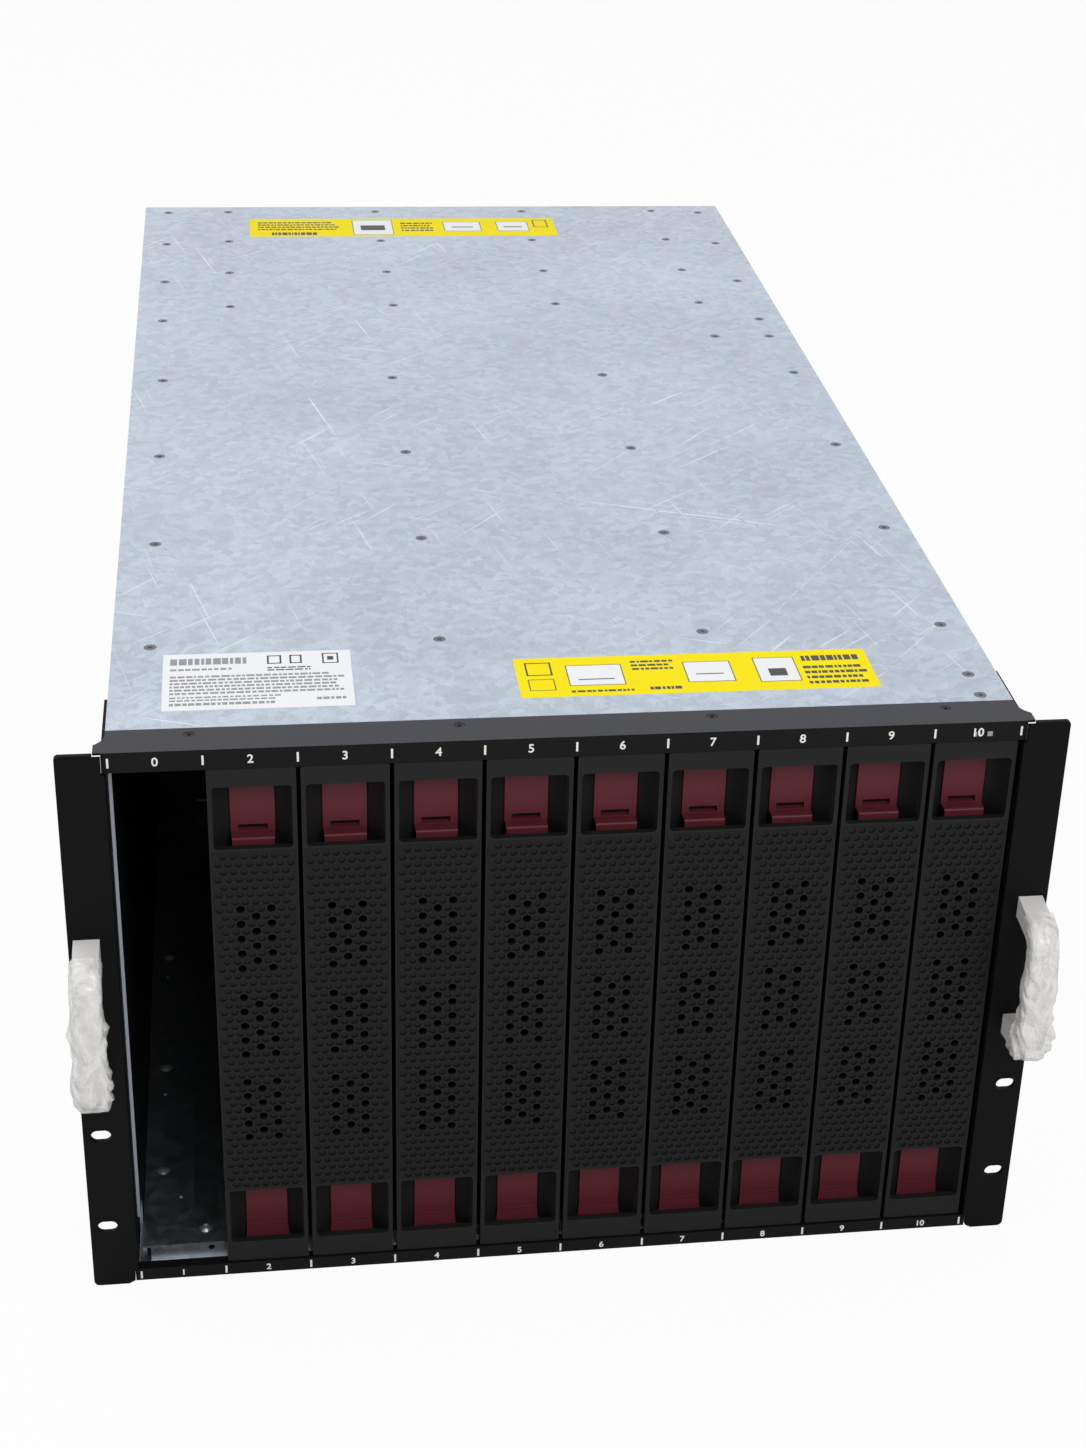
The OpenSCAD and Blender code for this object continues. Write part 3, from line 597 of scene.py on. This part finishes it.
sticker("white_label", (-193.5, -102, 41.5, 101), PAPER, [
    ("ink", GREY_INK, bars(-190, -150, 88, 97, 1, 0.75) + bars(-190, -160, 82, 86, 1)
     + bars(-190, -106, 57, 78, 6, 0.55) + bars(-190, -135, 50, 56, 2, 0.5) + bars(-190, -140, 45, 50, 1, 0.5)
     + bars(-120, -106, 48, 52, 1, 0.6)),
    ("blocks", INK, framed(-143, -136, 88, 97, 0.9) + framed(-132, -126, 88, 97, 0.9)
     + framed(-116, -108, 87, 98, 0.8) + [(-113.5, -110.5, 90.5, 94.5)] + bars(-143, -122, 80, 85, 2, 0.5))])


def ribbon(start, end, width, steps, wander, gaps=0.0):
    """A scratch: the straight line from start to end in millimetres, with an uneven width, as boxes' rows."""
    a, b = np.array(start, float), np.array(end, float)
    along = (b - a) / np.linalg.norm(b - a)
    across = np.array([-along[1], along[0]])
    t = np.linspace(0, 1, steps + 1)
    mid = a + np.outer(t, b - a) + np.outer(np.cumsum(RNG.normal(0, wander, steps + 1)), across)
    half = width / 2 * RNG.uniform(0.35, 1.0, steps + 1) * np.sin(np.pi * np.clip(t, 0.04, 0.96)) ** 0.35
    verts, faces = [], []
    for k in range(steps):
        if RNG.random() < gaps:
            continue
        n = len(verts)
        for j in (k, k + 1):
            for side in (-1, 1):
                x, y = mid[j] + side * half[j] * across
                for z in (0.0, SHEET_T):
                    verts.append([*place(x, y, 0)[:2], TOP - SINK + z])
        quad = ((0, 2, 6, 4), (1, 5, 7, 3), (0, 1, 3, 2), (4, 6, 7, 5), (0, 4, 5, 1), (2, 3, 7, 6))
        faces += [tuple(n + i for i in q) for q in quad]
    return verts, faces


all_verts, all_faces = [], []
for start, end, width, steps, wander, gaps in [
        ((43, 280), (145, 241), 1.5, 60, 0.10, 0.12), ((60, 284), (135, 249), 0.7, 40, 0.10, 0.45),
        ((0, 300), (44, 286), 0.45, 30, 0.05, 0.2), ((44, 261), (181, 198), 0.40, 70, 0.06, 0.25),
        ((187, 226), (119, 129), 0.50, 70, 0.08, 0.2), ((150, 226), (187, 222), 0.35, 20, 0.04, 0.2),
        ((120, 196), (183, 205), 0.3, 26, 0.05, 0.3), ((-80, 420), (-20, 380), 0.25, 30, 0.06, 0.35),
        ((-120, 250), (-70, 262), 0.25, 30, 0.05, 0.35), ((60, 520), (110, 480), 0.25, 30, 0.06, 0.4),
        ((-40, 640), (30, 655), 0.25, 30, 0.06, 0.4), ((20, 170), (60, 120), 0.25, 24, 0.05, 0.4)]:
    v, f = ribbon(start, end, width, steps, wander, gaps)
    all_faces += [tuple(len(all_verts) + i for i in q) for q in f]
    all_verts += v
piece("cover_scratches", all_verts, all_faces, MARK, "chassis", "galvanised_sheet")


# ---------------------------------------------------------------- wrapping on the handles

def wrap_path(steps):
    """The bar's middle line from the upper leg round the grip to the lower leg: depths and heights in mm."""
    knots = np.array([(-15.0, 206.5), (-22.0, 205.0), (-27.0, 200.0), (-28.8, 190.0), (-29.0, 170.0),
                      (-29.0, 150.0), (-28.8, 142.0), (-27.0, 137.0), (-22.0, 133.2), (-14.0, 132.0)])
    t = np.concatenate([[0], np.cumsum(np.linalg.norm(np.diff(knots, axis=0), axis=1))])
    u = np.linspace(0, t[-1], steps)
    return np.stack([np.interp(u, t, knots[:, 0]), np.interp(u, t, knots[:, 1])], 1), u


HANDLE_X = 232.55             # the handles' middle, left and right of the object's


def squarish(c):
    """A circle's cosine or sine, pushed towards a square with round corners."""
    return np.sign(c) * np.abs(c) ** 0.62


def wrap(side, name):
    """A crumpled sleeve: a rounded section swept down the bar, r = r0 (1 + loose(s) + creases(s, a))."""
    rows, cols = 170, 72
    path, s = wrap_path(rows)
    tangent = np.gradient(path, axis=0)
    tangent /= np.linalg.norm(tangent, axis=1)[:, None]
    normal = np.stack([tangent[:, 1], -tangent[:, 0]], 1)
    a = np.linspace(0, 2 * np.pi, cols, endpoint=False)
    across, out = 7.2 * squarish(np.cos(a)), 5.2 * squarish(np.sin(a))
    rng = np.random.default_rng(40 + side)
    u = s / s[-1]
    loose = 0.06 + 0.42 * np.exp(-((u - 0.74) / 0.13) ** 2) + 0.22 * np.exp(-((u - 0.42) / 0.10) ** 2)
    crease = np.zeros((rows, cols))
    for k in range(26):
        m = rng.integers(1, 5)
        f = rng.uniform(0.04, 0.36)
        wave = np.sin(f * s[:, None] * 2 * np.pi / 6 + m * a[None] + rng.uniform(0, 6.28))
        crease += rng.uniform(0.25, 1.0) / (0.8 + 0.25 * m) * (1 - np.abs(wave)) ** 2
    crease = (crease - crease.min()) / (crease.max() - crease.min())
    grow = 1.0 + loose[:, None] * (0.25 + 1.15 * crease) + 0.05 * crease
    x = side * HANDLE_X + across[None] * grow
    y = path[:, :1] + out[None] * grow * normal[:, :1]
    z = path[:, 1:] + out[None] * grow * normal[:, 1:]
    verts = np.stack([x * MM, EAR_FACE + y * MM, z * MM], -1).reshape(-1, 3)
    i = np.arange(rows - 1)[:, None] * cols
    j = np.arange(cols)[None]
    k = (j + 1) % cols
    faces = np.stack([i + j, i + cols + j, i + cols + k, i + k], -1).reshape(-1, 4)
    obj = piece(name, verts, faces, FILM, "chassis", "clear_film", smooth=True)
    shell = obj.modifiers.new("film", "SOLIDIFY")
    shell.thickness = 0.00008
    shell.offset = 0.0
    return obj


for side, end in ((-1, "left"), (1, "right")):
    obj = wrap(side, f"{end}_wrap")
    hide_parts(f"{end}_handle_film")


# ---------------------------------------------------------------- stage, lights, camera

def build_stage():
    """A pale floor whose colour shows as white and that keeps the object's shadow."""
    mesh = bpy.data.meshes.new("floor")
    s = 9.0
    z = -0.0005
    mesh.from_pydata([(-s, -s, z), (s, -s, z), (s, s, z), (-s, s, z)], [], [(0, 1, 2, 3)])
    floor = bpy.data.objects.new("floor", mesh)
    bpy.context.scene.collection.objects.link(floor)
    mat = bpy.data.materials.new("floor_paper")
    mat.use_nodes = True
    t = mat.node_tree
    shader = t.nodes["Principled BSDF"]
    shader.inputs["Base Color"].default_value = (0.86, 0.86, 0.86, 1.0)
    shader.inputs["Roughness"].default_value = 0.9
    shader.inputs["Specular IOR Level"].default_value = 0.1
    glow = t.nodes.new("ShaderNodeEmission")
    glow.inputs["Color"].default_value = (1.0, 1.0, 1.0, 1.0)
    glow.inputs["Strength"].default_value = 1.0
    path = t.nodes.new("ShaderNodeLightPath")
    seen = math_node(t, "MULTIPLY", path.outputs["Is Camera Ray"], 0.95)
    mix = t.nodes.new("ShaderNodeMixShader")
    t.links.new(seen, mix.inputs[0])
    t.links.new(shader.outputs[0], mix.inputs[1])
    t.links.new(glow.outputs[0], mix.inputs[2])
    t.links.new(mix.outputs[0], t.nodes["Material Output"].inputs["Surface"])
    mesh.materials.append(mat)


def build_world():
    """An even pale world that shows white to the camera, to gloss and through clear film."""
    world = bpy.data.worlds.new("studio")
    bpy.context.scene.world = world
    world.use_nodes = True
    t = world.node_tree
    light = t.nodes["Background"]
    light.inputs["Color"].default_value = (1.0, 1.0, 1.0, 1.0)
    light.inputs["Strength"].default_value = 0.42
    white = t.nodes.new("ShaderNodeBackground")
    white.inputs["Color"].default_value = (1.0, 1.0, 1.0, 1.0)
    white.inputs["Strength"].default_value = 1.0
    path = t.nodes.new("ShaderNodeLightPath")
    seen = math_node(t, "MAXIMUM", path.outputs["Is Camera Ray"],
                     math_node(t, "MAXIMUM", path.outputs["Is Glossy Ray"],
                               path.outputs["Is Transmission Ray"]))
    mix = t.nodes.new("ShaderNodeMixShader")
    t.links.new(seen, mix.inputs[0])
    t.links.new(light.outputs[0], mix.inputs[1])
    t.links.new(white.outputs[0], mix.inputs[2])
    t.links.new(mix.outputs[0], t.nodes["World Output"].inputs["Surface"])


def softbox(name, centre, target, size, power):
    """A square area lamp at centre, turned to target."""
    lamp = bpy.data.lights.new(name, "AREA")
    lamp.shape = "RECTANGLE"
    lamp.size, lamp.size_y = size
    lamp.energy = power
    obj = bpy.data.objects.new(name, lamp)
    bpy.context.scene.collection.objects.link(obj)
    back = np.array(centre, float) - np.array(target, float)
    back /= np.linalg.norm(back)
    right = np.cross([0.0, 0.0, 1.0], back)
    right = np.array([1.0, 0.0, 0.0]) if np.linalg.norm(right) < 1e-6 else right / np.linalg.norm(right)
    up = np.cross(back, right)
    matrix = np.eye(4)
    matrix[:3, 0], matrix[:3, 1], matrix[:3, 2], matrix[:3, 3] = right, up, back, centre
    obj.matrix_world = Matrix(matrix.tolist())
    return obj


def build_camera():
    """The viewpoint: above the front's left part, looking back and down over the cover."""
    turn = np.array(CAMERA_TURN)
    angle = np.linalg.norm(turn)
    k = turn / angle
    cross = np.array([[0, -k[2], k[1]], [k[2], 0, -k[0]], [-k[1], k[0], 0]])
    rot = np.eye(3) + math.sin(angle) * cross + (1 - math.cos(angle)) * cross @ cross
    eye = -rot.T @ np.array(CAMERA_SHIFT)
    cam = bpy.data.cameras.new("camera")
    cam.sensor_width = 36.0
    cam.lens = 62.02
    cam.shift_x = -0.0691
    cam.clip_start = 0.01
    cam.clip_end = 60.0
    obj = bpy.data.objects.new("camera", cam)
    bpy.context.scene.collection.objects.link(obj)
    matrix = np.eye(4)
    matrix[:3, 0], matrix[:3, 1], matrix[:3, 2] = rot[0], -rot[1], -rot[2]
    matrix[:3, 3] = place(*eye)
    obj.matrix_world = Matrix(matrix.tolist())
    bpy.context.scene.camera = obj


# The camera's turn from the object's axes (a rotation vector) and its offset in millimetres
CAMERA_TURN = (2.0595375, -0.1298291, 0.1364377)
CAMERA_SHIFT = (-43.5287, 280.4689, 1319.0728)

build_stage()
build_world()
softbox("key", (-1.2, 0.4, 2.8), (0.0, 0.1, 0.3), (1.8, 1.8), 26.0)
softbox("fill", (0.6, -2.6, 2.2), (0.0, -0.4, 0.15), (1.6, 1.2), 44.0)
build_camera()

scene = bpy.context.scene
scene.view_settings.view_transform = "Standard"
